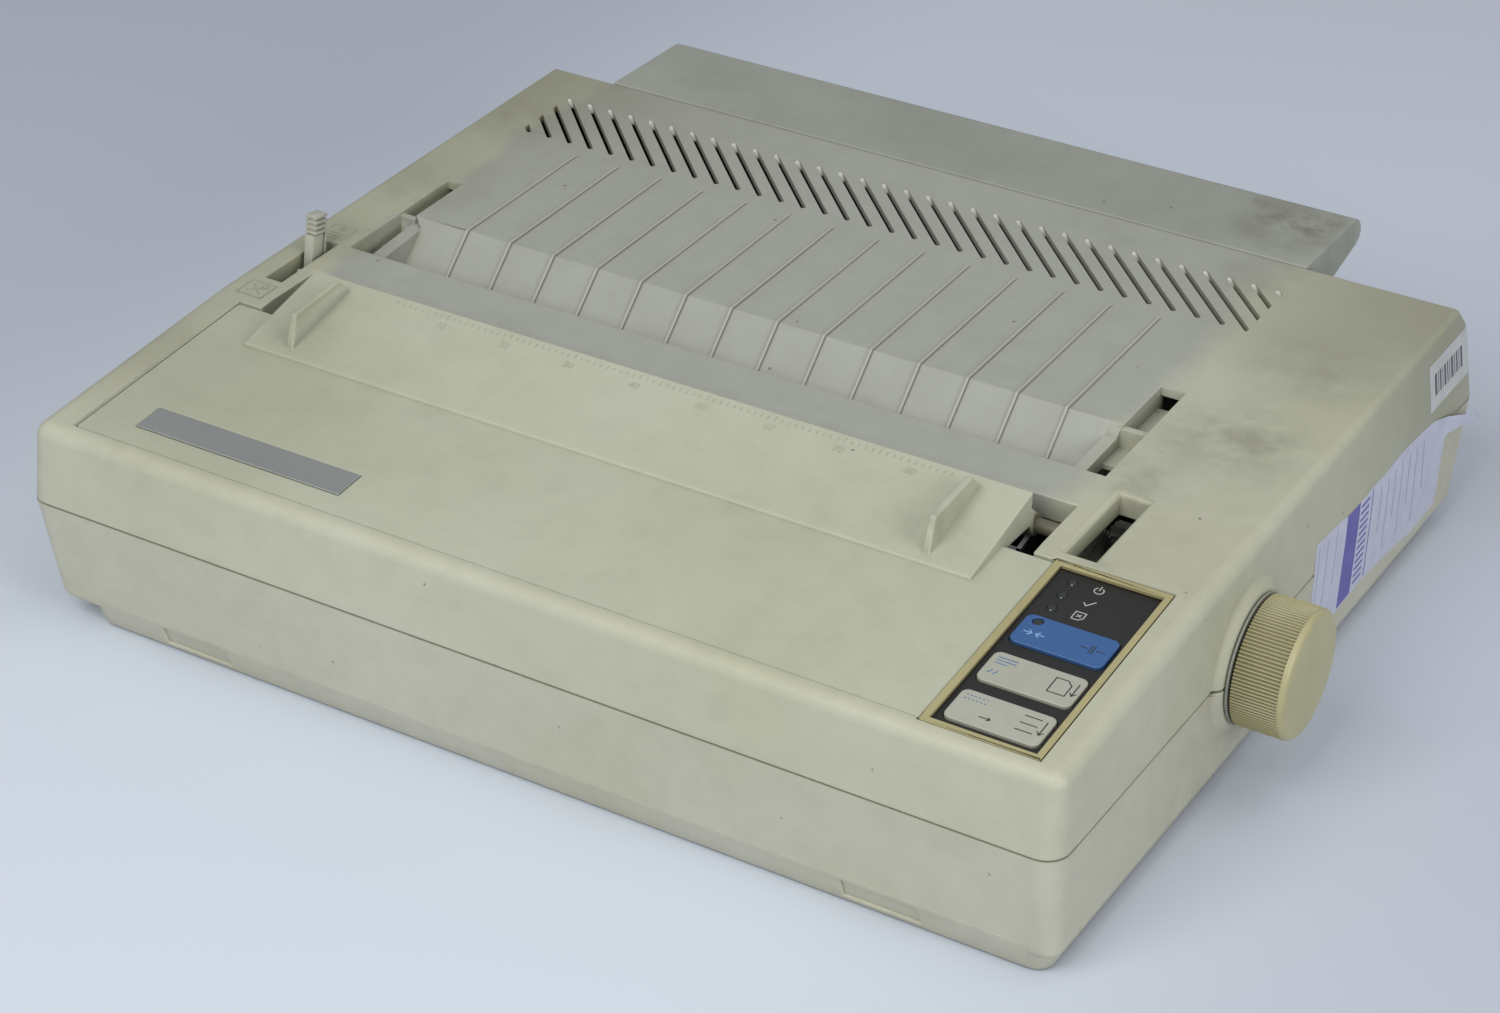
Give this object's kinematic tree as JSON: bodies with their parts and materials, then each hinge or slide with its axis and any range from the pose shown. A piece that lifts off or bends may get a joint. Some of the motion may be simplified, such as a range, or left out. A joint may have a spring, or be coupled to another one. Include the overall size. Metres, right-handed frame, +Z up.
{
  "type": "dot matrix printer",
  "caption": "Low beige desktop impact printer with a hinged front lid, a ribbed paper slope, a key panel and a platen knob on the right.",
  "frame": {"origin": "on the desk under the centre of the overall box, knob and separator included", "axes": "+X to the right end with the knob, +Y to the back, +Z up"},
  "size_m": [0.3996, 0.3586, 0.0999],
  "materials": {
    "case": "fine moulded texture, yellowed grey beige",
    "lid": "fine moulded texture",
    "grey_trim": "fine moulded texture",
    "cream_trim": "satin, yellowed",
    "plate": "brushed satin",
    "overlay": "semi gloss film",
    "blue_key": "satin",
    "grey_key": "satin",
    "lamp": "clear tinted",
    "lever": "satin",
    "rubber": "ground matt",
    "foot": "matt",
    "steel": "ground",
    "sheet": "zinc plated sheet",
    "gear": "natural acetal",
    "bronze": "sintered",
    "motor": "black paint",
    "black_part": "fine moulded texture",
    "head": "black anodised die casting",
    "film": "inked nylon",
    "cable": "flat flex",
    "board": "solder resist",
    "core": "varnished laminations",
    "coil": "enamelled winding"
  },
  "bodies": {
    "case": {"lower_case": "case", "upper_case": "case", "control_bezel": "cream_trim", "control_overlay": "overlay", "panel_board": "board", "panel_switches": "black_part", "status_lights": "lamp", "platen_bushes": "gear", "base_plate": "sheet", "left_side_frame": "sheet", "right_side_frame": "sheet", "frame_screws": "steel", "paper_chute": "sheet", "feed_motor": "motor", "guide_rod": "steel", "guide_rail": "sheet", "head_cable": "cable", "ribbon_cartridge": "black_part", "ink_ribbon": "film", "carriage_motor": "motor", "timing_belt": "rubber", "main_board": "board", "board_parts": "black_part", "transformer_core": "core", "transformer_coil": "coil", "data_connector": "steel", "connector_clips": "steel", "power_inlet": "black_part", "power_switch": "black_part", "rubber_feet": "foot", "case_screws": "steel"},
    "lid": {"front_lid": "lid", "nameplate": "plate"},
    "platen": {"platen_roller": "rubber", "platen_shaft": "steel", "platen_gear": "gear", "tractor_gear": "black_part", "platen_knob": "cream_trim", "knob_collar": "grey_trim"},
    "pinion": {"motor_pinion": "bronze"},
    "idler": {"idler_gear": "gear"},
    "front_pinch": {"front_pinch_shaft": "steel", "front_pinch_tyres": "rubber"},
    "rear_pinch": {"rear_pinch_shaft": "steel", "rear_pinch_tyres": "rubber"},
    "lever": {"release_lever": "lever"},
    "bail": {"paper_bail": "steel"},
    "bail_wheels": {"bail_rollers": "rubber"},
    "carriage_unit": {"carriage": "black_part", "carriage_bushes": "bronze", "print_head": "head"},
    "drive_wheel": {"drive_pulley": "steel"},
    "idle_wheel": {"idler_pulley": "gear"},
    "ribbon_drive": {"ribbon_knob": "grey_trim"},
    "gap_lever": {"head_gap_lever": "blue_key"},
    "blue_button": {"online_button": "blue_key"},
    "middle_button": {"form_feed_button": "grey_key"},
    "front_button": {"line_feed_button": "grey_key"},
    "rocker": {"power_rocker": "lever"},
    "separator": {"paper_separator": "grey_trim"}
  },
  "joints": [
    {"name": "lid_hinge", "type": "hinge", "parent": "case", "child": "lid", "pos_m": [-0.02745, -0.06125, 0.078], "axis": [-1, 0, 0], "range_deg": [0, 70]},
    {"name": "platen_spin", "type": "hinge", "parent": "case", "child": "platen", "pos_m": [-0.02745, -0.04905, 0.047], "axis": [1, 0, 0], "continuous": true},
    {"name": "pinion_spin", "type": "hinge", "parent": "case", "child": "pinion", "pos_m": [0.11025, -0.00625, 0.033], "axis": [1, 0, 0], "continuous": true},
    {"name": "idler_spin", "type": "hinge", "parent": "case", "child": "idler", "pos_m": [0.11825, -0.01506, 0.04636], "axis": [1, 0, 0], "continuous": true},
    {"name": "front_pinch_spin", "type": "hinge", "parent": "case", "child": "front_pinch", "pos_m": [-0.02745, -0.0596, 0.02873], "axis": [1, 0, 0], "continuous": true},
    {"name": "rear_pinch_spin", "type": "hinge", "parent": "case", "child": "rear_pinch", "pos_m": [-0.02745, -0.0385, 0.02873], "axis": [1, 0, 0], "continuous": true},
    {"name": "release_lever_pivot", "type": "hinge", "parent": "case", "child": "lever", "pos_m": [-0.18245, -0.06425, 0.045], "axis": [1, 0, 0], "range_deg": [-4, 20]},
    {"name": "paper_bail_pivot", "type": "hinge", "parent": "case", "child": "bail", "pos_m": [-0.02745, -0.03925, 0.07], "axis": [-1, 0, 0], "range_deg": [0, 15]},
    {"name": "bail_roller_spin", "type": "hinge", "parent": "bail", "child": "bail_wheels", "pos_m": [-0.02745, -0.06175, 0.0652], "axis": [1, 0, 0], "continuous": true},
    {"name": "carriage_slide", "type": "slide", "parent": "case", "child": "carriage_unit", "axis": [1, 0, 0], "range_m": [-0.1015, 0.1015]},
    {"name": "drive_pulley_spin", "type": "hinge", "parent": "case", "child": "drive_wheel", "pos_m": [-0.15645, -0.11025, 0.032], "axis": [0, 1, 0], "range_deg": [-765, 765]},
    {"name": "idler_pulley_spin", "type": "hinge", "parent": "case", "child": "idle_wheel", "pos_m": [0.10245, -0.11025, 0.032], "axis": [0, 1, 0], "range_deg": [-765, 765]},
    {"name": "ribbon_knob_spin", "type": "hinge", "parent": "case", "child": "ribbon_drive", "pos_m": [-0.13975, -0.13525, 0.068], "axis": [0, 0, 1], "range_deg": [-200, 200]},
    {"name": "head_gap_pivot", "type": "hinge", "parent": "case", "child": "gap_lever", "pos_m": [-0.17075, -0.09325, 0.033], "axis": [1, 0, 0], "range_deg": [0, 25]},
    {"name": "blue_button_press", "type": "slide", "parent": "case", "child": "blue_button", "axis": [0, -0.0886, 0.9961], "range_m": [-0.0008, 0], "stiffness_N_per_m": 350},
    {"name": "middle_button_press", "type": "slide", "parent": "case", "child": "middle_button", "axis": [0, -0.0886, 0.9961], "range_m": [-0.0008, 0], "stiffness_N_per_m": 350},
    {"name": "front_button_press", "type": "slide", "parent": "case", "child": "front_button", "axis": [0, -0.0886, 0.9961], "range_m": [-0.0008, 0], "stiffness_N_per_m": 350},
    {"name": "power_rocker_tilt", "type": "hinge", "parent": "case", "child": "rocker", "pos_m": [-0.19025, 0.07875, 0.028], "axis": [0, 1, 0], "range_deg": [-14, 0]},
    {"name": "separator_hinge", "type": "hinge", "parent": "case", "child": "separator", "pos_m": [-0.02745, 0.13115, 0.0862], "axis": [1, 0, 0], "range_deg": [0, 70]}
  ],
  "couplings": [
    {"joint": "pinion_spin", "follows": "platen_spin", "ratio": 4},
    {"joint": "idler_spin", "follows": "platen_spin", "ratio": -2.4},
    {"joint": "front_pinch_spin", "follows": "platen_spin", "ratio": -3.2},
    {"joint": "rear_pinch_spin", "follows": "platen_spin", "ratio": -3.2},
    {"joint": "drive_pulley_spin", "follows": "carriage_slide", "rad_per_m": 130.72},
    {"joint": "idler_pulley_spin", "follows": "carriage_slide", "rad_per_m": 130.72},
    {"joint": "ribbon_knob_spin", "follows": "carriage_slide", "rad_per_m": 33.333}
  ]
}
